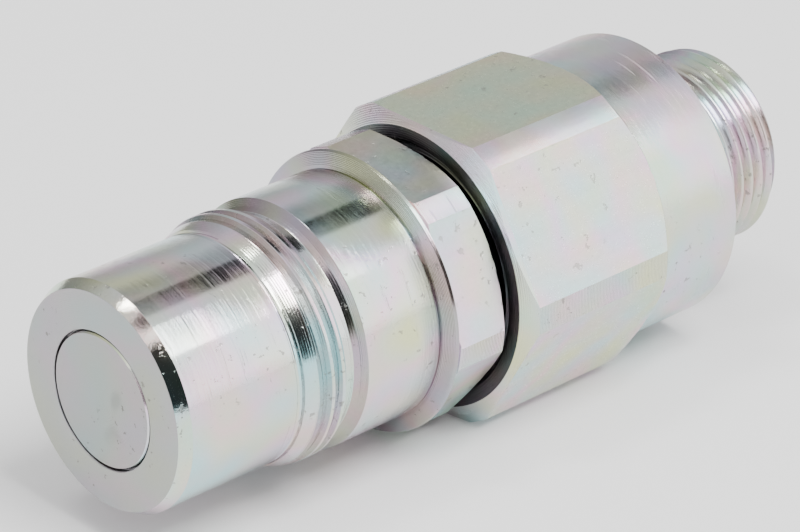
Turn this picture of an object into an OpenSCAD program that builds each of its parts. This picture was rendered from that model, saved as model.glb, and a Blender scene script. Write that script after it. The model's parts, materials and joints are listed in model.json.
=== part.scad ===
// Flat-face quick coupling, male half, for a liquid line, in millimetres.
// The axis runs along +X. The flat mating face is at x = 0 and the port thread points to +X.
// The big hexagon lies on one of its flats, with +Z up, and the axis is at z = 0.

/* [Nose] */
// Diameter of the ground nose that enters the female half
nose_d = 30; // [29.9:0.05:30.2]
// Length of the nose up to its shoulder
nose_len = 18.3; // [18:0.1:18.6]
// Diameter of the flat mating face inside the lead-in chamfer
face_d = 28.26; // [27.6:0.1:28.6]
// Length of the lead-in chamfer along the axis
lead_in = 1.6; // [1:0.1:2.2]

/* [Locking band] */
// Diameter of the threaded band behind the nose, over its crests
band_d = 32.6; // [32:0.1:33]
// Where the band ends and the locking groove begins
band_end = 25.1; // [24.8:0.1:25.3]
// Diameter at the bottom of the locking groove
groove_d = 30; // [29.6:0.1:30.4]
// Width of the bottom of the locking groove
groove_w = 1.7; // [1.4:0.1:1.8]

/* [Barrel and wrench hexagon] */
// Diameter of the plain barrel
barrel_d = 32.86; // [32.6:0.1:33.2]
// Where the barrel ends at the collar
barrel_end = 39.7; // [39.5:0.1:39.8]
// Diameter of the collar and of the turned corners of the small hexagon
collar_d = 37.58; // [36.5:0.1:38]
// Width across flats of the small hexagon
small_af = 34; // [33.4:0.1:35]
// Turn of the small hexagon against the big one, in degrees
small_turn = 7.5; // [0:0.5:30]
// Rear end of the small hexagon
small_end = 49.86; // [49.4:0.1:50.2]

/* [Rear adaptor] */
// Front face of the adaptor
adaptor_front = 51.1; // [50.8:0.1:51.4]
// Width across flats of the big hexagon
big_af = 38.74; // [38.7:0.02:40]
// Diameter over the turned corners of the big hexagon
big_corner_d = 42.75; // [42:0.1:44]
// Where the turned corners end and the rear chamfer begins
big_end = 74.8; // [74:0.1:75.4]
// Diameter of the round body behind the hexagon
body_d = 38.68; // [38:0.02:38.7]
// Rear face of the round body
body_end = 89.85; // [89:0.1:90.4]

/* [Port] */
// Major diameter of the port thread
port_d = 26.44; // [26.4:0.01:26.5]
// Overall length of the coupling
overall = 104.35; // [104:0.1:106]
// Diameter of the port bore
port_bore_d = 18.4; // [17:0.1:19]

/* [Front valve] */
// Diameter of the poppet's flush face
poppet_d = 17.5; // [17.2:0.1:17.6]
// Radial clearance of the poppet in the nose
poppet_play = 0.1; // [0.05:0.01:0.1]
// Diameter of the poppet's stem
stem_d = 8; // [7:0.1:8.4]
// How far the poppet travels
travel = 9; // [7:0.5:9]

/* [Rear valve] */
// How far the pilot pin moves before it would reach the check poppet
pilot_lift = 3.05; // [3:0.05:3.2]
// Diameter of the check poppet's head
check_d = 19.96; // [19.5:0.1:20]

/* [Hidden] */
$fn = 96;

nip = 0.02;                 // gap between pieces of one body that sit face to face
slip = 0.06;                // radial clearance of a stem in its guide
fit = 0.05;                 // radial clearance of a pressed or screwed piece

// Front body
nose_r = nose_d / 2;
bore_r = poppet_d / 2 + poppet_play;
stop_x = 6.6;               // shoulder that stops the poppet
chamber_r = 11.8;
guide_x = 34;               // shoulder that the stem guide sits on
guide_r = 12.8;
neck_r = 15.6;
thread_x = 52;              // start of the thread that enters the adaptor
thread_end = 58.4;
thread_r = 16.45;
spigot_r = 15.2;
nipple_end = 63.5;

// Glands
front_gland = [2.35, 5.2];  // start and end of the gland in the nose
front_gland_r = 10.9;
joint_gland = [59.6, 62.4];
joint_gland_r = 16.9;

// Snap rings
ring_t = 1.2;
ring_room = ring_t + 0.1;
ring_depth = 0.8;

// Adaptor
mouth_r = 17;
mouth_rim_r = 18.85;
front_chamfer = 1.15;
seat_len = 4;
seat_end = nipple_end + seat_len;
rear_chamber_r = 13.2;
rear_guide_x = 82.5;
rear_guide_t = 2.5;
chamber_end = 87;
undercut_r = 11.9;
undercut_w = 2.45;
port_chamfer = 0.95;
port_cone_r = 10.8;         // mouth of the 60 degree cone in the port

// Rear valve
valve_gap = 0.42;           // axial gap between a valve cone and its seat
seat_bore_r = 7.6;
seat_cone_x = nipple_end + 1.9;
check_front = nipple_end + 1.6;
check_back = 69.5;
check_stem_r = 4.6;
check_end = 88.5;
pilot_bore_r = 1.56;
pilot_seat_x = 70.8;
pilot_room_r = 3.4;
stem_tip = 56.5;
cap_x = 85.5;

steel = [0.74, 0.76, 0.77];
dark_steel = [0.42, 0.43, 0.45];
spring_steel = [0.55, 0.56, 0.58];
seal_black = [0.09, 0.09, 0.10];
backup_white = [0.90, 0.89, 0.84];

// A turned solid: the outline's points are [x, r] pairs and the axis is X.
module turned(outline) {
    rotate([0, 90, 0]) rotate_extrude() polygon([for (p = outline) [p[1], p[0]]]);
}

// A plain ring between two radii, from x0 to x1.
module ring(x0, x1, r_in, r_out) {
    turned([[x0, r_in], [x0, r_out], [x1, r_out], [x1, r_in]]);
}

// A round seal ring whose section is centred at x and r.
module seal_ring(x, r, section_r) {
    rotate([0, 90, 0]) rotate_extrude() translate([r, x]) circle(r = section_r, $fn = 32);
}

// A hexagonal bar along X with its flats up and down, turned about the axis by angle.
module hex_bar(x0, x1, af, angle = 0) {
    translate([x0, 0, 0]) rotate([0, 90, 0]) rotate([0, 0, 30 + angle])
        cylinder(h = x1 - x0, r = af / 2 / cos(30), $fn = 6);
}

// A flat snap ring with a gap and two pierced lugs, seated in a groove of radius r_groove.
module snap_ring(x0, r_groove) {
    r_out = r_groove - fit;
    r_in = r_out - 2;
    gap = 5;
    lug = 2.6;
    difference() {
        union() {
            ring(x0, x0 + ring_t, r_in, r_out);
            for (side = [-1, 1])
                translate([x0, side * (gap / 2 + lug / 2), -r_in + 0.4]) rotate([0, 90, 0])
                    cylinder(h = ring_t, r = lug / 2, $fn = 48);
        }
        translate([x0 - 1, -gap / 2, -r_out - 1]) cube([ring_t + 2, gap, 4]);
        for (side = [-1, 1])
            translate([x0 - 1, side * (gap / 2 + lug / 2), -r_in + 0.6]) rotate([0, 90, 0])
                cylinder(h = ring_t + 2, r = 0.6, $fn = 32);
    }
}

// A spoked guide: an outer ring, a hub with a bore, and four arms that leave flow windows.
module spoked_guide(x0, ring_len, hub_len, r_out, r_hub, r_bore) {
    arm_w = 3;
    rim_t = 1.7;
    difference() {
        union() {
            difference() {
                ring(x0, x0 + ring_len, r_out - rim_t, r_out);
                turned([[x0 + ring_len - 0.5, r_out + 1], [x0 + ring_len, r_out - 0.5],
                        [x0 + ring_len + 1, r_out - 0.5], [x0 + ring_len + 1, r_out + 1]]);
            }
            turned([[x0, 0], [x0, r_hub], [x0 + hub_len - 1, r_hub], [x0 + hub_len, r_hub - 1],
                    [x0 + hub_len, 0]]);
            for (a = [45, 135]) rotate([a, 0, 0])
                translate([x0, -arm_w / 2, -(r_out - rim_t / 2)])
                    cube([ring_len, arm_w, 2 * r_out - rim_t]);
        }
        turned([[x0 - 1, 0], [x0 - 1, r_bore + 1.4], [x0 + 0.4, r_bore], [x0 + hub_len - 0.4, r_bore],
                [x0 + hub_len + 1, r_bore + 1.4], [x0 + hub_len + 1, 0]]);
    }
}

// Position along a compression spring with one dead turn at each end, for a turn count t.
function coil_x(t, turns, x0, x1, wire) =
    let (dead = wire + 0.04, live = (x1 - x0 - wire - 2 * dead) / (turns - 2))
    x0 + wire / 2 + (t < 1 ? t * dead
                  : t < turns - 1 ? dead + (t - 1) * live
                  : x1 - x0 - wire - (turns - t) * dead);

// A coiled compression spring from x0 to x1.
module coil_spring(x0, x1, mean_r, wire, turns, steps, sides) {
    rings = turns * steps;
    points = [for (i = [0:rings]) let (a = 360 * i / steps, x = coil_x(i / steps, turns, x0, x1, wire))
              for (j = [0:sides - 1]) let (b = 360 * j / sides, r = mean_r + wire / 2 * cos(b))
              [x + wire / 2 * sin(b), r * cos(a), r * sin(a)]];
    walls = [for (i = [0:rings - 1]) for (j = [0:sides - 1])
             let (k = (j + 1) % sides, p = i * sides, q = p + sides)
             each [[p + j, p + k, q + k], [p + j, q + k, q + j]]];
    caps = [[for (j = [sides - 1:-1:0]) j], [for (j = [0:sides - 1]) rings * sides + j]];
    polyhedron(points, concat(walls, caps));
}

// Front body: nose, locking band and groove, barrel, collar, small hexagon, thread and spigot.
module nipple_body() {
    barrel_r = barrel_d / 2;
    collar_r = collar_d / 2;
    band_r = band_d / 2;
    groove_r = groove_d / 2;
    color(steel) difference() {
        union() {
            turned([[0, 0], [0, face_d / 2], [lead_in, nose_r], [nose_len, nose_r],
                    // shoulder and locking band
                    [nose_len + 2.4, nose_r + 0.9], [nose_len + 3.7, band_r],
                    [band_end - 0.5, band_r], [band_end, band_r - 0.3],
                    // locking groove and its long rear flank
                    [band_end + 0.15, groove_r], [band_end + 0.15 + groove_w, groove_r],
                    [band_end + 2.15, groove_r + 0.75], [band_end + 3.7, barrel_r],
                    // barrel, its narrow relief and the collar
                    [barrel_end, barrel_r], [barrel_end + 0.15, barrel_r - 0.23],
                    [barrel_end + 0.35, barrel_r - 0.23], [barrel_end + 0.5, barrel_r + 0.42],
                    [barrel_end + 1.3, collar_r - 0.29], [barrel_end + 1.5, collar_r],
                    [barrel_end + 1.9, collar_r], [barrel_end + 2.15, collar_r - 0.34],
                    [barrel_end + 2.45, collar_r - 0.7], [barrel_end + 2.7, collar_r - 0.7],
                    [barrel_end + 2.7, neck_r],
                    // neck, thread and spigot inside the adaptor
                    [thread_x, neck_r], [thread_x + 0.85, thread_r], [thread_end - 0.6, thread_r],
                    [thread_end, spigot_r + 0.6], [thread_end, spigot_r],
                    [nipple_end - 0.5, spigot_r], [nipple_end, spigot_r - 0.5], [nipple_end, 0]]);
            intersection() {
                hex_bar(barrel_end + 2.6, small_end, small_af, small_turn);
                turned([[barrel_end + 2.6, 0], [barrel_end + 2.6, collar_r - 0.6],
                        [barrel_end + 3, collar_r], [small_end - 1.2, collar_r],
                        [small_end, small_af / 2], [small_end, 0]]);
            }
        }
        turned([[-1, 0], [-1, bore_r + 0.15], [0, bore_r + 0.15], [0.15, bore_r],
                [front_gland[0], bore_r], [front_gland[0], front_gland_r],
                [front_gland[1], front_gland_r], [front_gland[1], bore_r],
                [stop_x, bore_r], [stop_x, chamber_r - 1], [stop_x + 1, chamber_r],
                [guide_x, chamber_r], [guide_x, guide_r], [guide_x + 4.05, guide_r],
                [guide_x + 4.05, guide_r + ring_depth],
                [guide_x + 4.05 + ring_room, guide_r + ring_depth],
                [guide_x + 4.05 + ring_room, guide_r],
                [nipple_end - 0.6, guide_r], [nipple_end + 1, guide_r + 1.6], [nipple_end + 1, 0]]);
    }
}

// Front valve: a flush head, the flange that meets the stop, and a long guided stem.
module poppet() {
    head_r = poppet_d / 2;
    stem_r = stem_d / 2;
    color(steel) turned([[0, 0], [0, head_r - 0.15], [0.15, head_r], [stop_x + 0.05, head_r],
        [stop_x + 0.05, chamber_r - 1.3], [stop_x + 1.8, chamber_r - 1.3], [stop_x + 1.8, 7.2],
        [stop_x + 3.4, 7.2], [stop_x + 6.6, stem_r], [stem_tip - 0.4, stem_r],
        [stem_tip, stem_r - 0.4], [stem_tip, 0]]);
}

// Seal that wipes the poppet's head.
module poppet_seal() {
    section = (front_gland_r - poppet_d / 2 - 0.1) / 2;
    color(seal_black) seal_ring(front_gland[0] + section + nip, front_gland_r - nip - section, section);
}

// Stiff ring behind the poppet's seal.
module poppet_backup() {
    color(backup_white)
        ring(front_gland[1] - 0.7, front_gland[1] - nip, poppet_d / 2 + 0.07, front_gland_r - nip);
}

module poppet_spring() {
    color(spring_steel) coil_spring(stop_x + 1.8 + fit, guide_x - nip, 8.3, 1.8, 7, 24, 8);
}

module stem_guide() {
    color(dark_steel) spoked_guide(guide_x + nip, 4, 10, guide_r - fit, 6.2, stem_d / 2 + slip);
}

module guide_snap_ring() {
    color(spring_steel) snap_ring(guide_x + 4.1, guide_r + ring_depth);
}

// Rear adaptor: big hexagon, round body, port thread, and the chamber of the rear valve.
module rear_adaptor() {
    corner_r = big_corner_d / 2;
    body_r = body_d / 2;
    flat_r = big_af / 2;
    port_r = port_d / 2;
    port_bore_r = port_bore_d / 2;
    color(steel) difference() {
        union() {
            intersection() {
                hex_bar(adaptor_front, big_end + corner_r - flat_r + 0.1, big_af);
                turned([[adaptor_front, 0], [adaptor_front, mouth_rim_r],
                        [adaptor_front + front_chamfer, corner_r], [big_end, corner_r],
                        [big_end + corner_r - flat_r, flat_r], [big_end + 3, flat_r - 1],
                        [big_end + 3, 0]]);
            }
            turned([[adaptor_front + 5, 0], [adaptor_front + 5, body_r], [body_end - 0.2, body_r],
                    [body_end, body_r - 0.2], [body_end, undercut_r],
                    [body_end + undercut_w, undercut_r],
                    [body_end + undercut_w + port_r - undercut_r, port_r],
                    [overall - port_chamfer, port_r], [overall, port_r - 0.35], [overall, 0]]);
        }
        turned([[adaptor_front - 1, 0], [adaptor_front - 1, mouth_r], [adaptor_front, mouth_r],
                [adaptor_front + 0.5, thread_r + fit], [thread_end + 0.1, thread_r + fit],
                [thread_end + 0.1, spigot_r + fit], [joint_gland[0], spigot_r + fit],
                [joint_gland[0], joint_gland_r], [joint_gland[1], joint_gland_r],
                [joint_gland[1], spigot_r + fit], [seat_end, spigot_r + fit],
                [seat_end, rear_chamber_r], [rear_guide_x + rear_guide_t + 0.05, rear_chamber_r],
                [rear_guide_x + rear_guide_t + 0.05, rear_chamber_r + ring_depth],
                [rear_guide_x + rear_guide_t + 0.05 + ring_room, rear_chamber_r + ring_depth],
                [rear_guide_x + rear_guide_t + 0.05 + ring_room, rear_chamber_r],
                [chamber_end, rear_chamber_r],
                [chamber_end + rear_chamber_r - port_bore_r, port_bore_r],
                [overall - (port_cone_r - port_bore_r) / tan(30), port_bore_r],
                [overall, port_cone_r], [overall + 1, port_cone_r], [overall + 1, 0]]);
    }
}

// Seal between the spigot and the adaptor.
module joint_seal() {
    section = (joint_gland_r - spigot_r) / 2 - nip;
    color(seal_black) seal_ring(joint_gland[1] - section - nip, spigot_r + nip + section, section);
}

module joint_backup() {
    color(backup_white)
        ring(joint_gland[0] + nip, joint_gland[0] + 0.95, spigot_r + nip, joint_gland_r - nip);
}

// Seat ring of the rear valve, clamped between the spigot and the adaptor's step.
module check_seat() {
    groove_x = nipple_end + 1.1;
    color(dark_steel) turned([[nipple_end + nip, seat_bore_r + 0.6], [nipple_end + nip, spigot_r],
        [groove_x, spigot_r], [groove_x, spigot_r - 1.6], [groove_x + 2, spigot_r - 1.6],
        [groove_x + 2, spigot_r], [seat_end - nip, spigot_r],
        [seat_end - nip, seat_bore_r + seat_end - nip - seat_cone_x],
        [seat_cone_x, seat_bore_r], [nipple_end + 0.6, seat_bore_r]]);
}

module check_seat_seal() {
    color(seal_black) seal_ring(nipple_end + 2.1, spigot_r - 0.77, 0.8);
}

// Centre of the soft seal in the cone of the check poppet, as [x, r].
function face_seal_centre() = [seat_cone_x + 1.85, seat_bore_r + 0.73];

// Rear valve: a coned head on a hollow stem that holds the pilot valve.
module check_poppet() {
    cone_r = seat_bore_r - seat_cone_x - valve_gap;
    color(steel) difference() {
        turned([[check_front, 0], [check_front, 6.2], [check_front + 0.6, check_front + 0.6 + cone_r],
                [check_d / 2 - cone_r, check_d / 2], [check_back, check_d / 2], [check_back, 7.6],
                [check_back + 1.5, 7.6], [check_back + 4.5, check_stem_r],
                [check_end - 0.5, check_stem_r], [check_end, check_stem_r - 0.5], [check_end, 0]]);
        turned([[check_front - 1, 0], [check_front - 1, pilot_bore_r], [pilot_seat_x, pilot_bore_r],
                [pilot_seat_x + pilot_room_r - pilot_bore_r, pilot_room_r],
                [check_end + 1, pilot_room_r], [check_end + 1, 0]]);
        seal_ring(face_seal_centre()[0], face_seal_centre()[1], 0.78);
    }
}

module check_face_seal() {
    color(seal_black) seal_ring(face_seal_centre()[0], face_seal_centre()[1], 0.75);
}

module check_spring() {
    color(spring_steel) coil_spring(check_back + nip, rear_guide_x, 8.6, 1.4, 4.5, 24, 8);
}

module check_guide() {
    color(dark_steel)
        spoked_guide(rear_guide_x + nip, rear_guide_t, 4.8, rear_chamber_r - fit, 6.8,
                     check_stem_r + slip);
}

module check_snap_ring() {
    color(spring_steel)
        snap_ring(rear_guide_x + rear_guide_t + 0.1, rear_chamber_r + ring_depth);
}

// Pilot pin: pushed by the poppet's stem, it opens a small bleed before the check poppet lifts.
module pilot_pin() {
    front = stem_tip + 0.1;
    shoulder = check_front - pilot_lift;
    head_x = pilot_seat_x + valve_gap;
    color(dark_steel) turned([[front, 0], [front, 2.7], [front + 0.3, 3], [shoulder, 3],
        [shoulder, pilot_bore_r - slip], [head_x, pilot_bore_r - slip], [head_x + 1.3, 2.8],
        [74.5, 2.8], [74.5, 1.5], [77, 1.5], [77, 0]]);
}

module pilot_spring() {
    color(spring_steel) coil_spring(74.5 + nip, cap_x - nip, 2.3, 0.6, 7, 16, 6);
}

// Hollow screw that closes the check poppet's stem behind the pilot spring.
module pilot_cap() {
    color(dark_steel)
        turned([[cap_x, 1.2], [cap_x, pilot_room_r - fit], [check_end - 0.1, pilot_room_r - fit],
                [check_end - 0.1, 1.6], [check_end - 0.5, 1.2]]);
}

nipple_body();
poppet();
poppet_seal();
poppet_backup();
poppet_spring();
stem_guide();
guide_snap_ring();
rear_adaptor();
joint_seal();
joint_backup();
check_seat();
check_seat_seal();
check_poppet();
check_face_seal();
check_spring();
check_guide();
check_snap_ring();
pilot_pin();
pilot_spring();
pilot_cap();
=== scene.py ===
"""Looks of a flat-face quick coupling, male half, laid out as a Blender add-on and run as a script.

The axis is X, the mating face is at x = 0 and the coupling lies on a flat of its big hexagon.
Outlines are lists of (x, r) points in millimetres, with a rounding radius as a third value.
"""

import json
import math

import bmesh
import bpy
from bpy.props import FloatProperty, FloatVectorProperty, IntProperty, PointerProperty
from mathutils import Matrix, Vector


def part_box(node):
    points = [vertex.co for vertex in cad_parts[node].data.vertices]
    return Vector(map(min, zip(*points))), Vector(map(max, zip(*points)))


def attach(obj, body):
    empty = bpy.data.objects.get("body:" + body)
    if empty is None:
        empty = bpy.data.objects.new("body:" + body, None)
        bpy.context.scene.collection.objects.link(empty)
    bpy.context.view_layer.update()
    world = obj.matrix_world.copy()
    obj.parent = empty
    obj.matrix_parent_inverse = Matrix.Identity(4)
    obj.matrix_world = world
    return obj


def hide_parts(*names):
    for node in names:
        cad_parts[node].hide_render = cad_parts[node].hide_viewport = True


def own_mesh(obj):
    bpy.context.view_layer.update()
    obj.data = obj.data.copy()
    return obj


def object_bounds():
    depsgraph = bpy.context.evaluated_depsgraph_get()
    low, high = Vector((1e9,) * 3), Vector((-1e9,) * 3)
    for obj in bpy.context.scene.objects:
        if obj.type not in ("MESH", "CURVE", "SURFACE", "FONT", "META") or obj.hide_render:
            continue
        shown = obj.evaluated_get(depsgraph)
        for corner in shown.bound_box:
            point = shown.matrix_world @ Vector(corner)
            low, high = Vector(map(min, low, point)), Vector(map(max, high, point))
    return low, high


bl_info = {
    "name": "Flat-face coupling",
    "version": (1, 0, 0),
    "blender": (4, 5, 0),
    "location": "View3D > Sidebar > Coupling",
    "description": "Models the male half of a flat-face quick coupling and its studio",
    "category": "Object",
}

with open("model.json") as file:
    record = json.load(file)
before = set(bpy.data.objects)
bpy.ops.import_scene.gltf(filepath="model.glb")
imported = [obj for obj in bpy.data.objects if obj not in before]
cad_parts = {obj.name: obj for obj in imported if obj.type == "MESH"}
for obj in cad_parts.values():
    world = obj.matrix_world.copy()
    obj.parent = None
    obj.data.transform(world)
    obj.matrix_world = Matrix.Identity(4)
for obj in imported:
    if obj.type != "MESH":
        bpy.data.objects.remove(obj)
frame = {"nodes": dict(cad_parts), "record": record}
cad_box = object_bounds()

MM = 0.001
FULL_TURN = 2 * math.pi
SHARP = math.radians(17)
MOUNTS = {mount["name"]: mount for mount in frame["record"]["mounts"]}
NOSE_R = MOUNTS["mating_nose"]["dims"]["r_mm"]
PORT_R = MOUNTS["port_thread"]["dims"]["r_mm"]
FLAT_R = -MOUNTS["rest_flat"]["pos_m"][2] / MM
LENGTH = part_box("rear_adaptor")[1][0] / MM
ADAPTOR_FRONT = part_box("rear_adaptor")[0][0] / MM
NIPPLE_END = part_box("nipple_body")[1][0] / MM


# ---------------------------------------------------------------- settings

class CouplingSizes(bpy.types.PropertyGroup):
    """Sizes of what the frame leaves to the looks."""

    edge: FloatProperty(name="Edge rounding", description="Radius on turned edges, in millimetres",
                        default=0.12, min=0.02, max=0.4)
    steps: IntProperty(name="Facets round", description="Facets round a turned surface",
                       default=288, min=96, max=480)
    port_pitch: FloatProperty(name="Port thread pitch", description="In millimetres", default=1.814)
    band_pitch: FloatProperty(name="Band thread pitch", description="In millimetres", default=1.72)
    band_crest: FloatProperty(name="Band thread crest", description="Width in millimetres", default=0.38)
    band_depth: FloatProperty(name="Band thread depth", description="In millimetres", default=0.5)


class CouplingFinish(bpy.types.PropertyGroup):
    """Colours and strengths of the finishes."""

    zinc: FloatVectorProperty(name="Zinc", description="Colour of the zinc plate", subtype="COLOR",
                              default=(0.61, 0.63, 0.62), min=0, max=1)
    blush: FloatVectorProperty(name="Rose tint", description="Rose tint of the passivation",
                               subtype="COLOR", default=(0.78, 0.50, 0.68), min=0, max=1)
    cyan: FloatVectorProperty(name="Cyan tint", description="Cyan tint of the passivation",
                              subtype="COLOR", default=(0.38, 0.68, 0.72), min=0, max=1)
    straw: FloatVectorProperty(name="Straw tint", description="Yellow green tint of the passivation",
                               subtype="COLOR", default=(0.66, 0.69, 0.40), min=0, max=1)
    steel: FloatVectorProperty(name="Oiled steel", description="Colour of the plain steel inside",
                               subtype="COLOR", default=(0.36, 0.36, 0.37), min=0, max=1)
    rubber: FloatVectorProperty(name="Rubber", description="Colour of the seals", subtype="COLOR",
                                default=(0.018, 0.018, 0.020), min=0, max=1)
    plastic: FloatVectorProperty(name="Backup plastic", description="Colour of the stiff rings",
                                 subtype="COLOR", default=(0.80, 0.79, 0.74), min=0, max=1)


class CouplingStage(bpy.types.PropertyGroup):
    """Camera, floor and light."""

    azimuth: FloatProperty(name="Azimuth", description="Turn of the camera from the front, clockwise",
                           subtype="ANGLE", default=math.radians(42.9))
    elevation: FloatProperty(name="Elevation", description="Height angle of the camera",
                             subtype="ANGLE", default=math.radians(27.5))
    distance: FloatProperty(name="Distance", description="From the camera to the aim point",
                            subtype="DISTANCE", default=0.5300)
    aim: FloatProperty(name="Aim", description="Point on the axis that the camera looks at",
                       subtype="DISTANCE", default=0.0488)
    lens: FloatProperty(name="Lens", description="Focal length in millimetres", default=189.4)


# ---------------------------------------------------------------- modelling helpers

def softened(outline, closed=True):
    """The outline as plain points, with each given rounding made a short curve."""
    points = []
    count = len(outline)
    for i, here in enumerate(outline):
        corner = Vector(here[:2])
        if len(here) < 3 or not (closed or 0 < i < count - 1):
            points.append(corner)
            continue
        before = Vector(outline[i - 1][:2]) - corner
        after = Vector(outline[(i + 1) % count][:2]) - corner
        opening = before.angle(after)
        reach = min(here[2] / math.tan(opening / 2), before.length * 0.48, after.length * 0.48)
        start = corner + before.normalized() * reach
        end = corner + after.normalized() * reach
        segments = max(2, math.ceil((math.pi - opening) / SHARP * 1.3))
        for k in range(segments + 1):
            t = k / segments
            points.append(start * (1 - t) ** 2 + corner * 2 * t * (1 - t) + end * t ** 2)
    return points


def turn(bm, outline, closed=True):
    """Spins an outline about the X axis into a surface."""
    verts = [bm.verts.new((x * MM, 0.0, r * MM)) for x, r in softened(outline, closed)]
    pairs = list(zip(verts, verts[1:])) + ([(verts[-1], verts[0])] if closed else [])
    edges = [bm.edges.new(pair) for pair in pairs]
    bmesh.ops.spin(bm, geom=verts + edges, cent=(0, 0, 0), axis=(1, 0, 0), angle=FULL_TURN,
                   steps=bpy.context.scene.coupling_sizes.steps, use_merge=True)
    bmesh.ops.remove_doubles(bm, verts=bm.verts, dist=1e-7)


def ridge(bm, section, start, end, pitch, blank):
    """Adds a screw thread's ridge: its section is spun along a helix and kept inside the blank.

    section is a list of (x, r) round the crest at the helix's start; end is where it is cut off.
    """
    steps = bpy.context.scene.coupling_sizes.steps // 2
    turns = (end - start) / pitch + 1
    coil_bm = bmesh.new()
    verts = [coil_bm.verts.new(((start + x) * MM, 0.0, r * MM)) for x, r in section]
    coil_bm.faces.new(verts)
    bmesh.ops.spin(coil_bm, geom=list(coil_bm.faces), cent=(0, 0, 0), axis=(1, 0, 0),
                   dvec=(pitch * MM / steps, 0, 0), angle=FULL_TURN * turns,
                   steps=round(steps * turns))
    for vert in coil_bm.verts:
        radius = math.hypot(vert.co.y, vert.co.z)
        limit = blank(vert.co.x / MM) * MM
        if radius > limit:
            vert.co.yz = vert.co.yz * (limit / radius)
    bmesh.ops.bisect_plane(coil_bm, geom=coil_bm.verts[:] + coil_bm.edges[:] + coil_bm.faces[:],
                           dist=1e-8, plane_co=(end * MM, 0, 0), plane_no=(1, 0, 0),
                           clear_outer=True)
    bmesh.ops.holes_fill(coil_bm, edges=[edge for edge in coil_bm.edges if edge.is_boundary])
    mesh = bpy.data.meshes.new("ridge")
    coil_bm.to_mesh(mesh)
    coil_bm.free()
    bm.from_mesh(mesh)
    bpy.data.meshes.remove(mesh)


def line(x, *points):
    """The height at x of a line through (x, r) points."""
    for (x0, r0), (x1, r1) in zip(points, points[1:]):
        if x <= x1:
            return r0 + (r1 - r0) * max(0.0, x - x0) / (x1 - x0)
    return points[-1][1]


def hexagonal(verts, flat_r, turn_angle, steps):
    """Moves turned vertices onto a hexagon's flats where they stand out beyond them."""
    sixth = FULL_TURN / 6
    for vert in verts:
        radius = math.hypot(vert.co.y, vert.co.z) / MM
        angle = math.atan2(vert.co.z, vert.co.y) - turn_angle
        index = round(angle / FULL_TURN * steps) % (steps // 6)
        half = steps // 12
        side = 1 if index >= half else -1
        share = abs(index - half) / half
        flat_half = math.acos(min(flat_r / radius, 1.0))
        flat_half = max(flat_half, math.radians(4))
        if share <= 0.5:
            spread = flat_half * share * 2
        else:
            spread = flat_half + (sixth / 2 - flat_half) * (share * 2 - 1)
        sector = math.floor(round(angle / FULL_TURN * steps) / (steps // 6))
        theta = turn_angle + sector * sixth + sixth / 2 + side * spread
        reach = min(radius, flat_r / math.cos(spread)) * MM
        vert.co.y, vert.co.z = reach * math.cos(theta), reach * math.sin(theta)


def finished(bm, name, body, finishes, zones=None, replaces=()):
    """Turns a bmesh into a finished piece that rides on a body; zones names each face's finish."""
    bmesh.ops.remove_doubles(bm, verts=bm.verts, dist=1e-7)
    bmesh.ops.dissolve_degenerate(bm, edges=bm.edges, dist=1e-8)
    bmesh.ops.recalc_face_normals(bm, faces=bm.faces)
    for face in bm.faces:
        face.smooth = True
        if zones:
            face.material_index = finishes.index(zones(face))
    for edge in bm.edges:
        if len(edge.link_faces) == 2 and edge.calc_face_angle() > SHARP:
            edge.smooth = False
    mesh = bpy.data.meshes.new(name)
    bm.to_mesh(mesh)
    bm.free()
    piece = bpy.data.objects.new(name, mesh)
    bpy.context.scene.collection.objects.link(piece)
    for finish in finishes:
        mesh.materials.append(FINISHES[finish])
    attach(piece, body)
    if replaces:
        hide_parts(*replaces)
    return piece


def face_place(face):
    """A face's place along the axis and its radius, in millimetres, and its normal."""
    centre = face.calc_center_median()
    return centre.x / MM, math.hypot(centre.y, centre.z) / MM, face.normal


# ---------------------------------------------------------------- shader helpers

class Value:
    """A shader socket that Python expressions can work with."""

    def __init__(self, shade, socket):
        self.shade = shade
        self.socket = socket

    def __add__(self, other):
        return self.shade.maths("ADD", self, other)

    def __radd__(self, other):
        return self.shade.maths("ADD", other, self)

    def __sub__(self, other):
        return self.shade.maths("SUBTRACT", self, other)

    def __rsub__(self, other):
        return self.shade.maths("SUBTRACT", other, self)

    def __mul__(self, other):
        return self.shade.maths("MULTIPLY", self, other)

    def __rmul__(self, other):
        return self.shade.maths("MULTIPLY", other, self)

    def __truediv__(self, other):
        return self.shade.maths("DIVIDE", self, other)


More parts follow.
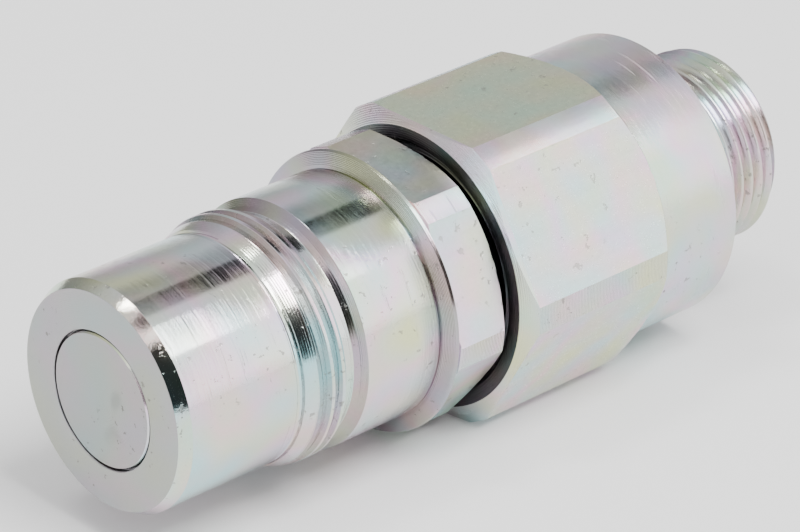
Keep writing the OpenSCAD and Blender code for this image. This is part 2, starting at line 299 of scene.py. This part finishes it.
class Shade:
    """The node tree of one material."""

    def __init__(self, owner):
        self.owner = bpy.data.materials.new(owner) if isinstance(owner, str) else owner
        self.owner.use_nodes = True
        self.tree = self.owner.node_tree
        self.tree.nodes.clear()

    def node(self, kind, settings=None, inputs=None, output=0):
        """Adds a node, its settings first, then the values or links of its sockets."""
        node = self.tree.nodes.new(kind)
        for key, value in (settings or {}).items():
            if key == "stops":
                ramp = node.color_ramp
                while len(ramp.elements) < len(value):
                    ramp.elements.new(0.5)
                for element, (place, shade) in zip(ramp.elements, value):
                    element.position = place
                    element.color = (*shade, 1.0) if hasattr(shade, "__len__") else (shade,) * 3 + (1.0,)
            else:
                setattr(node, key, value)
        for key, value in (inputs or {}).items():
            if isinstance(value, Value):
                self.tree.links.new(value.socket, node.inputs[key])
            else:
                node.inputs[key].default_value = value
        return Value(self, node.outputs[output])

    def maths(self, operation, first, second=0.0):
        return self.node("ShaderNodeMath", {"operation": operation}, {0: first, 1: second})

    def place(self):
        """Object coordinates."""
        return self.node("ShaderNodeTexCoord", output=3)

    def split(self, vector):
        """The three numbers of a vector."""
        node = self.node("ShaderNodeSeparateXYZ", None, {0: vector}).socket.node
        return [Value(self, node.outputs[k]) for k in range(3)]

    def dot(self, vector, other):
        return self.node("ShaderNodeVectorMath", {"operation": "DOT_PRODUCT"},
                         {0: vector, 1: other}, output=1)

    def step(self, value, low, high):
        """A smooth step from 0 at low to 1 at high."""
        return self.node("ShaderNodeMapRange", {"interpolation_type": "SMOOTHSTEP"},
                         {0: value, 1: low, 2: high})

    def axes(self):
        """Place along the axis and radius, from object coordinates in metres."""
        x, y, z = self.split(self.place())
        return x, self.maths("SQRT", y * y + z * z)

    def noise(self, scale, detail=2.0, roughness=0.5, stretch=(1, 1, 1)):
        """Noise over object coordinates, stretched along the axes."""
        place = self.node("ShaderNodeMapping", None, {"Vector": self.place(), "Scale": stretch})
        return self.node("ShaderNodeTexNoise", None,
                         {"Vector": place, "Scale": scale, "Detail": detail, "Roughness": roughness})

    def ramp(self, value, *stops):
        return self.node("ShaderNodeValToRGB", {"stops": stops}, {0: value})

    def blend(self, factor, first, second, mode="MIX"):
        """Mixes two colours."""
        first = (*first, 1.0) if not isinstance(first, Value) and len(first) == 3 else first
        second = (*second, 1.0) if not isinstance(second, Value) and len(second) == 3 else second
        return self.node("ShaderNodeMix", {"data_type": "RGBA", "blend_type": mode},
                         {0: factor, 6: first, 7: second}, output=2)

    def bump(self, height, distance, strength=1.0, normal=None):
        inputs = {"Height": height, "Distance": distance, "Strength": strength}
        if normal:
            inputs["Normal"] = normal
        return self.node("ShaderNodeBump", None, inputs)

    def surface(self, **inputs):
        """Closes the material with a Principled surface."""
        names = {key.replace("_", " "): value for key, value in inputs.items()}
        surface = self.node("ShaderNodeBsdfPrincipled", None, names)
        output = self.tree.nodes.new("ShaderNodeOutputMaterial")
        self.tree.links.new(surface.socket, output.inputs["Surface"])
        return self.owner


# ---------------------------------------------------------------- finishes

def tinted_zinc(shade, tint=1.0, scale=52.0, seed=0.0):
    """Zinc colour with slow drifts of rose, cyan and straw, as a thin passivation film gives."""
    look = bpy.context.scene.coupling_finish
    place = shade.node("ShaderNodeMapping", None,
                       {"Vector": shade.place(), "Location": (seed, seed * 0.7, -seed)})
    drift = shade.node("ShaderNodeTexNoise", None,
                       {"Vector": place, "Scale": scale, "Detail": 2.0, "Roughness": 0.55})
    patches = shade.node("ShaderNodeTexNoise", None,
                         {"Vector": place, "Scale": scale * 2.3, "Detail": 1.0})
    film = shade.ramp(drift, (0.33, look.cyan), (0.44, look.zinc), (0.52, look.blush),
                      (0.59, look.zinc), (0.68, look.straw))
    film = shade.blend(tint, look.zinc, film)
    second = shade.ramp(patches, (0.36, look.straw), (0.5, look.zinc), (0.64, look.cyan))
    return shade.blend(0.4 * tint, film, second)


def specks(shade, scale, share):
    """A mask of small scattered nicks with ragged outlines, gathered in patches."""
    shape = shade.noise(scale * 1.6, 3.0, 0.65)
    patch = shade.noise(scale * 0.13, 1.0)
    return shade.step(shape, 0.63, 0.67) * shade.step(patch, 0.80 - share, 0.88 - share)


def scratches(shade):
    """A mask of short fine scratches that cross the turning marks."""
    lie = shade.node("ShaderNodeMapping", None, {"Vector": shade.place(), "Rotation": (0.9, 0.5, 0.7),
                                                 "Scale": (1, 0.07, 0.07)})
    line_noise = shade.node("ShaderNodeTexNoise", None,
                            {"Vector": lie, "Scale": 1500.0, "Detail": 1.0})
    patch = shade.noise(95.0, 2.0)
    return shade.step(line_noise, 0.64, 0.70) * shade.step(patch, 0.48, 0.60)


def zinc(name, roughness, feed=None, feed_depth=0.0, along="x", tint=1.0, grain=0.04,
         speck_share=0.3, seed=0.0, grit=0.25, painted_shade=1.0):
    """Zinc plate on steel. feed is the spacing of the tool marks in millimetres. The last argument
    darkens the colour as painted shade.
    """
    shade = Shade(name)
    x, radius = shade.axes()
    colour = tinted_zinc(shade, tint, seed=seed)
    fine = shade.noise(2600.0, 3.0, 0.6)
    broad = shade.noise(420.0, 2.0, 0.5)
    run = x if along == "x" else radius
    marks = shade.node("ShaderNodeTexNoise", {"noise_dimensions": "1D"},
                       {"W": run * 4200.0, "Detail": 3.0})
    mottle = 0.94 - grain * 2 + grain * 2.4 * fine + grain * broad + 0.14 * marks
    # The mottle's last factor darkens the colour as painted shade, for surfaces that lie in shade.
    colour = shade.blend(1.0, colour, grey(shade, mottle * painted_shade), "MULTIPLY")
    nick = specks(shade, 520.0, speck_share)
    colour = shade.blend(nick * 0.6, colour, (0.20, 0.19, 0.17))
    scratch = scratches(shade)
    rough = roughness + 0.07 * (fine - 0.5) + 0.10 * (broad - 0.5) + 0.2 * nick + 0.22 * scratch
    height = fine * grit + marks * 0.35 - nick * 1.2 - scratch * 1.3
    if feed:
        wave = shade.maths("SINE", run * (FULL_TURN / (feed * MM)))
        drift = shade.noise(90.0, 2.0, 0.6)
        height = height + wave * feed_depth * (0.5 + drift)
    normal = shade.bump(height, 0.00001, 1.0)
    return shade.surface(Base_Color=colour, Metallic=1.0, Roughness=rough, Normal=normal)


def grey(shade, value):
    """A number as a grey colour."""
    return shade.node("ShaderNodeCombineColor", None, {0: value, 1: value, 2: value})


def flat_zinc(name, roughness, seed, sparkle=0.0):
    """Zinc plate on a drawn or milled flat: fine grain, long marks along the bar and sparkle."""
    look = bpy.context.scene.coupling_finish
    shade = Shade(name)
    colour = tinted_zinc(shade, 1.0, scale=55.0, seed=seed)
    upper = shade.step(shade.split(shade.place())[2], 0.0165, 0.0185)
    colour = shade.blend(0.55 * upper, colour, look.straw)
    grain = shade.noise(1500.0, 4.0, 0.7)
    drawn = shade.noise(900.0, 3.0, 0.6, stretch=(0.06, 1, 1))
    crystals = shade.node("ShaderNodeTexVoronoi", {"feature": "F1"},
                          {"Vector": shade.place(), "Scale": 1900.0})
    glint = shade.maths("LESS_THAN", crystals, 0.22) * sparkle
    nick = specks(shade, 380.0, 0.34)
    # Adding glint to the colour brightens the crystals as a painted glint; their lower roughness and bump
    # are real.
    mottle = 0.78 + 0.26 * grain + 0.12 * drawn + 0.2 * glint
    colour = shade.blend(1.0, colour, grey(shade, mottle), "MULTIPLY")
    colour = shade.blend(nick * 0.5, colour, (0.26, 0.25, 0.22))
    rough = roughness + 0.22 * (grain - 0.5) - 0.16 * glint
    normal = shade.bump(grain * 1.4 + drawn * 0.9 - nick * 2.0 + glint * 1.6, 0.000014, 1.0)
    return shade.surface(Base_Color=colour, Metallic=1.0, Roughness=rough, Normal=normal)


def oiled_steel(name="oiled_steel"):
    look = bpy.context.scene.coupling_finish
    shade = Shade(name)
    x, radius = shade.axes()
    fine = shade.noise(1800.0, 3.0, 0.6)
    colour = shade.blend(fine, [c * 0.8 for c in look.steel], [c * 1.15 for c in look.steel])
    wave = shade.maths("SINE", radius * (FULL_TURN / (0.18 * MM)))
    normal = shade.bump(fine + wave * 0.6, 0.00001, 1.0)
    return shade.surface(Base_Color=colour, Metallic=1.0, Roughness=0.26 + 0.14 * fine,
                         Normal=normal)


def drawn_wire():
    look = bpy.context.scene.coupling_finish
    shade = Shade("drawn_wire")
    fine = shade.noise(2200.0, 3.0, 0.6)
    colour = shade.blend(fine, [c * 0.6 for c in look.steel], [c * 1.0 for c in look.steel])
    return shade.surface(Base_Color=colour, Metallic=1.0, Roughness=0.3 + 0.15 * fine,
                         Normal=shade.bump(fine, 0.000008))


def seal_rubber():
    look = bpy.context.scene.coupling_finish
    shade = Shade("seal_rubber")
    fine = shade.noise(1500.0, 4.0, 0.6)
    colour = shade.blend(fine, look.rubber, [c * 1.8 for c in look.rubber])
    return shade.surface(Base_Color=colour, Roughness=0.42 + 0.2 * fine,
                         Normal=shade.bump(fine, 0.00001))


def backup_plastic():
    look = bpy.context.scene.coupling_finish
    shade = Shade("backup_plastic")
    fine = shade.noise(900.0, 3.0, 0.6)
    colour = shade.blend(fine, [c * 0.93 for c in look.plastic], look.plastic)
    return shade.surface(Base_Color=colour, Roughness=0.38 + 0.14 * fine,
                         Normal=shade.bump(fine, 0.00001))


# ---------------------------------------------------------------- pieces

# Places along the axis and radii, in millimetres.
FACE_R = 14.13
LEAD_IN = 1.6
POPPET_HOLE_R = 8.87
SHOULDER = 18.3
SHOULDER_RISE = 0.352
BAND_R = 16.3
BAND_START = 18.76
BAND_END = 25.1
GROOVE_R = 15.0
FLANK = 27.6
FLANK_LENGTH = 0.55
BARREL_R = 16.43
BARREL_END = 39.7
COLLAR_R = 18.79
HEX_START = BARREL_END + 1.66
SMALL_FLAT_R = 17.0
SMALL_TURN = math.radians(7.5)
SMALL_END = 49.86
SPIGOT_R = 15.6
MOUTH_DEPTH = 55.0
MOUTH_R = 18.85
MOUTH_CHAMFER = 1.15
BIG_CORNER_R = 21.375
BIG_END = 74.8
CORNER_DROP = BIG_CORNER_R - FLAT_R
BODY_R = 19.34
BODY_END = 89.85
UNDERCUT_R = 11.9
UNDERCUT = 2.45
PORT_START = 89.88
PORT_ROOT_R = PORT_R - 1.16
# The finishes of each piece, in the order of its material slots.
NIPPLE_FINISHES = ("face", "ground", "band", "turned", "small_flat", "bore", "bevel", "corner",
                   "recess", "root", "lead")
POPPET_FINISHES = ("poppet_face", "ground")
ADAPTOR_FINISHES = ("big_flat", "corner", "body", "thread", "bore", "recess")


def band_core():
    """Radius at the bottom of the locking band's thread."""
    return BAND_R - bpy.context.scene.coupling_sizes.band_depth


def cone_end(radius):
    """Where the shoulder's cone reaches a radius, as (x, r)."""
    return SHOULDER + 0.15 + (radius - NOSE_R - 0.03) / SHOULDER_RISE, radius


def nose_outline(edge):
    """The front body's closed outline, from the mating face round to the bore."""
    core = band_core()
    rear = BARREL_END
    outside = [
        (0, FACE_R, 0.06), (LEAD_IN, NOSE_R, edge),
        (SHOULDER - 0.4, NOSE_R, 0.03), (SHOULDER - 0.28, NOSE_R - 0.07, 0.03),
        (SHOULDER - 0.1, NOSE_R - 0.07, 0.03), (SHOULDER, NOSE_R, 0.03),
        (SHOULDER + 0.42, NOSE_R, 0.12), (SHOULDER + 0.62, NOSE_R - 0.16, 0.04),
        cone_end(NOSE_R + 0.25) + (0.04,), cone_end(core), (BAND_END - 0.05, core, 0.05),
        (BAND_END + 0.15, GROOVE_R, 0.1), (BAND_END + 1.8, GROOVE_R, 0.2),
        (FLANK, GROOVE_R + 0.55, 0.12), (FLANK + FLANK_LENGTH, BARREL_R, 0.12),
        (rear, BARREL_R, 0.05), (rear + 0.15, BARREL_R - 0.23, 0.05),
        (rear + 0.3, BARREL_R - 0.23, 0.05), (rear + 0.42, BARREL_R + 0.4, 0.06),
        (rear + 0.98, COLLAR_R - 0.3, 0.16), (rear + 1.38, COLLAR_R - 0.14, 0.06),
        (rear + 1.48, COLLAR_R - 0.4, 0.04), (rear + 1.64, COLLAR_R - 0.4)]
    chamfer = [(SMALL_END - 1.2 + 1.2 * k / 10, COLLAR_R - (COLLAR_R - SMALL_FLAT_R) * k / 10)
               for k in range(11)]
    hexagon = [(HEX_START, COLLAR_R - 0.4), (HEX_START + 0.06, COLLAR_R - 0.2),
               (HEX_START + 0.12, COLLAR_R)]
    inside = [
        (SMALL_END, SPIGOT_R, 0.1), (52, SPIGOT_R), (52.85, 16.45), (57.8, 16.45), (58.4, 15.8),
        (58.4, 15.2), (NIPPLE_END - 0.5, 15.2), (NIPPLE_END, 14.7), (NIPPLE_END, 13.4),
        (NIPPLE_END - 0.6, 12.8), (39.35, 12.8), (39.35, 13.6), (38.05, 13.6), (38.05, 12.8),
        (34, 12.8), (34, 11.8, 0.1), (7.6, 11.8, 0.2), (6.6, 10.8), (6.6, 8.85, 0.05),
        (5.2, 8.85), (5.2, 10.9, 0.1), (2.35, 10.9, 0.1), (2.35, 8.85), (0.9, POPPET_HOLE_R), (0.9, 8.98),
        (0.1, 8.98, 0.03), (0, 9.08, 0.03)]
    return outside + hexagon + chamfer + inside


class COUPLING_OT_nipple_body(bpy.types.Operator):
    """Models the front body with its locking thread and small hexagon"""

    bl_idname = "coupling.nipple_body"
    bl_label = "Front body"

    def execute(self, context):
        sizes = context.scene.coupling_sizes
        bm = bmesh.new()
        turn(bm, nose_outline(sizes.edge))
        start, end = HEX_START - 0.01, SMALL_END + 0.001
        chosen = [v for v in bm.verts if start < v.co.x / MM < end
                  and math.hypot(v.co.y, v.co.z) / MM > SMALL_FLAT_R - 0.01]
        hexagonal(chosen, SMALL_FLAT_R, SMALL_TURN, sizes.steps)
        core = band_core()

        def blank(x):
            return line(x, (SHOULDER - 9, NOSE_R - 0.5), (SHOULDER, NOSE_R - 0.12),
                        (cone_end(core)[0] - 0.25, core - 0.2), (cone_end(core)[0], core),
                        (cone_end(BAND_R)[0], BAND_R), (BAND_END - 0.5, BAND_R), (BAND_END, BAND_R - 0.3))

        crest = sizes.band_crest / 2
        section = [(-crest - 0.5, core - 0.12), (-crest - 0.42, core), (-crest - 0.05, BAND_R - 0.05),
                   (-crest, BAND_R), (0, BAND_R), (crest, BAND_R), (crest + 0.05, BAND_R - 0.05),
                   (crest + 0.3, core), (crest + 0.36, core - 0.12)]
        ridge(bm, section, BAND_START, BAND_END, sizes.band_pitch, blank)
        finished(bm, "front_body", "root", NIPPLE_FINISHES, zones=nipple_zone,
                 replaces=("nipple_body",))
        return {"FINISHED"}


def nipple_zone(face):
    """The finish of a face of the front body, from the mating face backwards."""
    x, r, normal = face_place(face)
    hole_wall = r < FACE_R + 0.07 and x < 5 and abs(normal.x) < 0.9
    if hole_wall or r < 13.9 and x > 0.2:
        return "bore"
    if normal.x < -0.95 and x < 0.1:
        return "face"
    if x < LEAD_IN and r > FACE_R - 0.03:
        return "lead"
    if x < SHOULDER + 0.1:
        return "ground"
    if cone_end(band_core())[0] + 0.1 < x < BAND_END + 0.2 and r < BAND_R - 0.1:
        return "root"
    if x < BAND_END + 1.9:
        return "band"
    if x < FLANK + FLANK_LENGTH + 0.01:
        return "bevel"
    if x < BARREL_END:
        return "turned"
    if x < HEX_START - 0.3:
        return "bevel"
    if x < SMALL_END + 0.01 and r > SPIGOT_R + 0.1:
        return "small_flat" if abs(normal.x) < 0.1 and r < COLLAR_R - 0.02 else "corner"
    # The recess finish on the neck is zinc darkened as painted shadow in the gap before the adaptor.
    return "recess" if x < MOUTH_DEPTH and r > SPIGOT_R - 0.3 else "bore"


class COUPLING_OT_poppet(bpy.types.Operator):
    """Models the flush valve head and its stem"""

    bl_idname = "coupling.poppet"
    bl_label = "Poppet"

    def execute(self, context):
        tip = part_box("poppet")[1][0] / MM
        bm = bmesh.new()
        turn(bm, [(0, 0), (0, 8.55, 0.05), (0.2, 8.72, 0.05), (6.65, 8.75), (6.65, 10.5, 0.1),
                  (8.4, 10.5, 0.1), (8.4, 7.2), (10, 7.2, 0.1), (13.2, 4, 0.6),
                  (tip - 0.4, 4, 0.05), (tip, 3.6, 0.05), (tip, 0)], closed=False)
        finished(bm, "poppet_valve", "poppet", POPPET_FINISHES, zones=poppet_zone,
                 replaces=("poppet",))
        return {"FINISHED"}


def poppet_zone(face):
    """The finish of a face of the poppet: its flush front, or the rest."""
    x, _, normal = face_place(face)
    return "poppet_face" if normal.x < -0.9 and x < 0.1 else "ground"


def adaptor_outline(edge):
    """The rear adaptor's closed outline."""
    front = [(ADAPTOR_FRONT, SMALL_FLAT_R), (ADAPTOR_FRONT, MOUTH_R, 0.08)]
    chamfer_in = [(ADAPTOR_FRONT + MOUTH_CHAMFER * k / 12,
                   MOUTH_R + (BIG_CORNER_R - MOUTH_R) * k / 12) for k in range(1, 13)]
    chamfer_out = [(BIG_END + CORNER_DROP * k / 14, BIG_CORNER_R - CORNER_DROP * k / 14)
                   for k in range(15)]
    rear = [
        (BIG_END + CORNER_DROP + 0.04, BODY_R), (BIG_END + 6, BODY_R), (BODY_END - 0.25, BODY_R, edge),
        (BODY_END, BODY_R - 0.25, edge), (BODY_END, UNDERCUT_R, 0.3),
        (BODY_END + UNDERCUT, UNDERCUT_R, 0.2), (BODY_END + UNDERCUT + 0.15, PORT_ROOT_R),
        (LENGTH - 0.05, PORT_ROOT_R), (LENGTH, PORT_ROOT_R - 0.05),
        (LENGTH, 10.8, 0.08), (LENGTH - 1.6 / math.tan(math.radians(30)), 9.2, 0.1),
        (91, 9.2, 0.2), (87, 13.2), (86.35, 13.2), (86.35, 14), (85.05, 14), (85.05, 13.2),
        (67.5, 13.2), (67.5, 15.25), (62.4, 15.25), (62.4, 16.9), (59.6, 16.9), (59.6, 15.25),
        (58.5, 15.25), (58.5, 16.5), (ADAPTOR_FRONT + 0.5, 16.5)]
    return front + chamfer_in + chamfer_out + rear


class COUPLING_OT_rear_adaptor(bpy.types.Operator):
    """Models the rear adaptor with its big hexagon and port thread"""

    bl_idname = "coupling.rear_adaptor"
    bl_label = "Rear adaptor"

    def execute(self, context):
        sizes = context.scene.coupling_sizes
        bm = bmesh.new()
        turn(bm, adaptor_outline(sizes.edge))
        chosen = [v for v in bm.verts if math.hypot(v.co.y, v.co.z) / MM > FLAT_R - 0.005]
        hexagonal(chosen, FLAT_R, 0.0, sizes.steps)
        flank = [(0.14, PORT_R - 0.04), (0.26, PORT_R - 0.17), (0.80, PORT_ROOT_R + 0.02),
                 (0.86, PORT_ROOT_R - 0.1)]
        section = [(-x, r) for x, r in reversed(flank)] + [(0, PORT_R)] + flank
        run_in = BODY_END + UNDERCUT

        def blank(x):
            return line(x, (BODY_END, PORT_ROOT_R - 0.4), (run_in, UNDERCUT_R),
                        (run_in + PORT_R - UNDERCUT_R, PORT_R), (LENGTH - 0.95, PORT_R),
                        (LENGTH, PORT_R - 0.35))

        ridge(bm, section, PORT_START, LENGTH, sizes.port_pitch, blank)
        finished(bm, "rear_body", "root", ADAPTOR_FINISHES, zones=adaptor_zone,
                 replaces=("rear_adaptor",))
        return {"FINISHED"}


def adaptor_zone(face):
    """The finish of a face of the adaptor."""
    x, r, normal = face_place(face)
    if x > BODY_END + 0.02 and r > 11.3:
        return "thread"
    # The mouth's front face takes the recess finish: zinc darkened as painted shadow in the gap.
    if x < ADAPTOR_FRONT + 3 and r < MOUTH_R - 0.01:
        return "recess"
    if r < FLAT_R - 1 and x < BODY_END - 0.05 or r < 11.3:
        return "bore"
    if x < ADAPTOR_FRONT + MOUTH_CHAMFER - 0.01 or x > BIG_END + CORNER_DROP + 0.025:
        return "body"
    if abs(normal.x) < 0.1 and r < BIG_CORNER_R - 0.02 and x < BIG_END + 2:
        return "big_flat"
    return "corner" if x < BIG_END + 0.02 else "body"


def coil(name, box, body, wire, turns):
    """A round-wire spring laid in its part's box, with close dead turns at both ends."""
    low, high = ([c / MM for c in corner] for corner in box)
    mean_r = high[1] - wire / 2
    bm = bmesh.new()
    circle = bmesh.ops.create_circle(bm, cap_ends=True, radius=wire / 2 * MM, segments=14)
    bmesh.ops.rotate(bm, verts=circle["verts"], cent=(0, 0, 0),
                     matrix=Matrix.Rotation(math.pi / 2, 3, "X"))
    bmesh.ops.translate(bm, verts=circle["verts"], vec=(0, 0, mean_r * MM))
    steps = 48
    bmesh.ops.spin(bm, geom=list(bm.faces), cent=(0, 0, 0), axis=(1, 0, 0), dvec=(MM / steps, 0, 0),
                   angle=FULL_TURN * turns, steps=round(steps * turns))
    dead = wire + 0.04
    live = (high[0] - low[0] - wire - 2 * dead) / (turns - 2)
    for vert in bm.verts:
        angle = math.atan2(-vert.co.y, vert.co.z) % FULL_TURN
        done = (vert.co.x / MM - angle / FULL_TURN)
        done = round(done) + angle / FULL_TURN
        offset = vert.co.x / MM - done
        advance = (done * dead if done < 1 else dead + (done - 1) * live if done < turns - 1
                   else high[0] - low[0] - wire - (turns - done) * dead)
        vert.co.x = (low[0] + wire / 2 + advance + offset) * MM
    piece = finished(bm, name + "_wire", body, ("wire",), replaces=(name,))
    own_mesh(piece)


FINISHES = {}


def make_finishes():
    """Makes each finish of the new pieces once, under a plain name."""
    FINISHES.update(
        bore=oiled_steel("bore_steel"),
        # The mating face is darkened as painted shade.
        face=zinc("zinc_face", 0.40, feed=0.22, feed_depth=0.5, along="r", tint=0.3, seed=3.1,
                  grain=0.05, painted_shade=0.64),
        ground=zinc("zinc_ground", 0.10, feed=0.09, feed_depth=0.25, seed=1.7),
        lead=zinc("zinc_lead", 0.1, seed=0.6, grain=0.06, speck_share=0.42, grit=1.3),
        band=zinc("zinc_band", 0.14, grit=1.0, feed=0.3, feed_depth=0.3, seed=6.2, grain=0.07,
                  speck_share=0.4),
        turned=zinc("zinc_turned", 0.11, feed=0.16, feed_depth=0.4, seed=4.4),
        # The band thread's root is darkened as painted shade in the valleys.
        root=zinc("zinc_root", 0.26, feed=0.2, feed_depth=0.6, seed=7.9, grain=0.12,
                  speck_share=0.42, painted_shade=0.62),
        # The bevels are darkened as painted shade from the darker things they reflect.
        bevel=zinc("zinc_bevel", 0.2, feed=0.2, feed_depth=0.4, along="r", seed=5.3, grain=0.08,
                   painted_shade=0.6),
        # The recess finish is zinc darkened almost to black as painted shadow in the gap.
        recess=zinc("zinc_recess", 0.3, feed=0.3, feed_depth=0.8, along="r", seed=2.7, painted_shade=0.16),
        small_flat=flat_zinc("zinc_small_flat", 0.34, 2.2),
        big_flat=flat_zinc("zinc_big_flat", 0.42, 5.9, sparkle=1.0),
        corner=zinc("zinc_corner", 0.22, feed=0.26, feed_depth=2.6, seed=8.1),
        body=zinc("zinc_body", 0.24, feed=0.12, feed_depth=0.4, seed=9.6),
        # The port thread is darkened a little as painted shade.
        thread=zinc("zinc_thread", 0.18, seed=7.3, grain=0.08, painted_shade=0.9),
        # The poppet's face is darkened as painted shade, like the mating face.
        poppet_face=zinc("zinc_poppet_face", 0.44, feed=0.3, feed_depth=0.4, along="r", tint=0.3,
                         seed=11.0, painted_shade=0.62),
        wire=drawn_wire())


class COUPLING_OT_springs(bpy.types.Operator):
    """Models the three coil springs as round wire"""

    bl_idname = "coupling.springs"
    bl_label = "Springs"

    def execute(self, context):
        coil("poppet_spring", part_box("poppet_spring"), "root", 1.8, 7)
        coil("check_spring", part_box("check_spring"), "root", 1.4, 4.5)
        coil("pilot_spring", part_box("pilot_spring"), "check", 0.6, 7)
        return {"FINISHED"}


class COUPLING_OT_inner_parts(bpy.types.Operator):
    """Gives the guides, rings, seats and seals inside their finishes"""

    bl_idname = "coupling.inner_parts"
    bl_label = "Inner parts"

    def execute(self, context):
        by_slot = {"plain_steel": oiled_steel(), "seal_rubber": seal_rubber(),
                   "backup_plastic": backup_plastic(), "spring_wire": FINISHES["wire"],
                   "zinc_plate": FINISHES["turned"]}
        for part in frame["record"]["subparts"]:
            node = frame["nodes"][part["node"]]
            node.data.materials.clear()
            node.data.materials.append(by_slot[part["material_slot"]])
        return {"FINISHED"}


# Soft boxes: name, direction from the coupling, width and height in metres, radiance.
BOX_DISTANCE = 1.2
SOFT_BOXES = (("overhead", (0.05, -0.5, 0.86), (0.46, 0.62), 18.0),
              ("strip", (-0.19, 0.24, 0.955), (0.13, 0.30), 26.0))
# Panels of the surround: direction, half width, half height, softness, radiance.
PANELS = (((0.60, -0.19, 0.776), 0.30, 0.20, 0.09, 1.0),
          ((0.60, 0.42, 0.680), 0.22, 0.26, 0.08, 0.42),
          ((0.60, 0.19, 0.775), 0.145, 0.28, 0.02, 0.02),
          ((-0.27, -0.08, 0.96), 0.12, 0.12, 0.04, 0.12),
          ((-0.40, -0.78, 0.42), 0.66, 0.50, 0.05, 0.04),
          ((-0.35, -0.53, 0.77), 0.16, 0.14, 0.03, 0.06),
          ((-0.30, -0.30, 0.905), 0.05, 0.05, 0.02, 3.5),
          ((-0.985, 0.15, 0.08), 0.20, 0.10, 0.04, 4.5))


def studio_world(context):
    """A soft studio surround: bright at the front right, dimmer behind, with a few panels."""
    world = bpy.data.worlds.new("studio")
    context.scene.world = world
    world.use_nodes = True
    shade = Shade(world)
    way = shade.node("ShaderNodeTexCoord")
    side = shade.split(way)[1]
    light = shade.ramp(side * 0.5 + 0.5, (0.0, 0.92), (0.25, 1.0), (0.45, 0.54), (0.65, 0.34),
                       (0.82, 0.30), (0.95, 0.16), (1.0, 0.10))
    light = shade.blend(1.0, light, (3.1, 3.1, 3.1), "MULTIPLY")
    for direction, half_width, half_height, soft, radiance in PANELS:
        centre = Vector(direction).normalized()
        right = centre.cross(Vector((0, 0, 1))).normalized()
        ahead = shade.dot(way, centre)
        across = shade.maths("ABSOLUTE", shade.dot(way, right) / ahead)
        up = shade.maths("ABSOLUTE", shade.dot(way, right.cross(centre)) / ahead)
        mask = (shade.maths("GREATER_THAN", ahead, 0.05)
                * (1 - shade.step(across, half_width - soft, half_width + soft))
                * (1 - shade.step(up, half_height - soft, half_height + soft)))
        light = shade.blend(mask, light, (radiance, radiance, radiance))
    seen = shade.node("ShaderNodeLightPath")
    light = shade.blend(seen, light, (9.0, 9.0, 9.0))
    surround = shade.node("ShaderNodeBackground", None, {"Color": light, "Strength": 1.0})
    output = shade.tree.nodes.new("ShaderNodeOutputWorld")
    shade.tree.links.new(surround.socket, output.inputs["Surface"])


class COUPLING_OT_stage(bpy.types.Operator):
    """Sets the camera, the pale floor and the soft light"""

    bl_idname = "coupling.stage"
    bl_label = "Stage"

    def execute(self, context):
        stage = context.scene.coupling_stage
        aim = Vector((stage.aim, 0.0003, 0.0007))
        level = math.cos(stage.elevation)
        away = Vector((-math.sin(stage.azimuth) * level, -math.cos(stage.azimuth) * level,
                       math.sin(stage.elevation)))
        camera = bpy.data.objects.new("camera", bpy.data.cameras.new("camera"))
        camera.data.lens = stage.lens
        camera.data.clip_end = 20
        camera.location = aim + away * stage.distance
        camera.rotation_euler = away.to_track_quat("Z", "Y").to_euler()
        context.scene.collection.objects.link(camera)
        context.scene.camera = camera

        bm = bmesh.new()
        bmesh.ops.create_grid(bm, x_segments=1, y_segments=1, size=3.0)
        bmesh.ops.translate(bm, verts=bm.verts, vec=(0, 0, cad_box[0][2]))
        mesh = bpy.data.meshes.new("floor")
        bm.to_mesh(mesh)
        bm.free()
        floor = bpy.data.objects.new("floor", mesh)
        context.scene.collection.objects.link(floor)
        shade = Shade("pale_floor")
        tone = shade.noise(3.0, 2.0)
        mesh.materials.append(shade.surface(
            Base_Color=shade.blend(tone, (0.83, 0.83, 0.83), (0.85, 0.85, 0.85)), Roughness=0.9))

        studio_world(context)
        for name, place, size, radiance in SOFT_BOXES:
            light = bpy.data.lights.new(name, "AREA")
            light.shape = "RECTANGLE"
            light.size, light.size_y = size
            light.energy = radiance * math.pi * size[0] * size[1]
            lamp = bpy.data.objects.new(name, light)
            lamp.location = aim + Vector(place).normalized() * BOX_DISTANCE
            lamp.rotation_euler = Vector(place).to_track_quat("Z", "Y").to_euler()
            context.scene.collection.objects.link(lamp)
        return {"FINISHED"}


class COUPLING_PT_panel(bpy.types.Panel):
    """Lists the coupling's settings and steps"""

    bl_label = "Coupling"
    bl_space_type = "VIEW_3D"
    bl_region_type = "UI"
    bl_category = "Coupling"

    def draw(self, context):
        for group in (context.scene.coupling_sizes, context.scene.coupling_finish,
                      context.scene.coupling_stage):
            for name in group.bl_rna.properties.keys():
                if name not in ("rna_type", "name"):
                    self.layout.prop(group, name)
        for step in STEPS:
            self.layout.operator(step.bl_idname)


GROUPS = {"coupling_sizes": CouplingSizes, "coupling_finish": CouplingFinish,
          "coupling_stage": CouplingStage}
STEPS = (COUPLING_OT_stage, COUPLING_OT_nipple_body, COUPLING_OT_poppet, COUPLING_OT_rear_adaptor,
         COUPLING_OT_springs, COUPLING_OT_inner_parts)


def register():
    for cls in (*GROUPS.values(), *STEPS, COUPLING_PT_panel):
        bpy.utils.register_class(cls)
    for name, group in GROUPS.items():
        setattr(bpy.types.Scene, name, PointerProperty(type=group))


def unregister():
    for name in GROUPS:
        delattr(bpy.types.Scene, name)
    for cls in reversed((*GROUPS.values(), *STEPS, COUPLING_PT_panel)):
        bpy.utils.unregister_class(cls)


def main():
    register()
    make_finishes()
    for name in ("stage", "nipple_body", "poppet", "rear_adaptor", "springs", "inner_parts"):
        getattr(bpy.ops.coupling, name)()


if __name__ == "__main__":
    main()
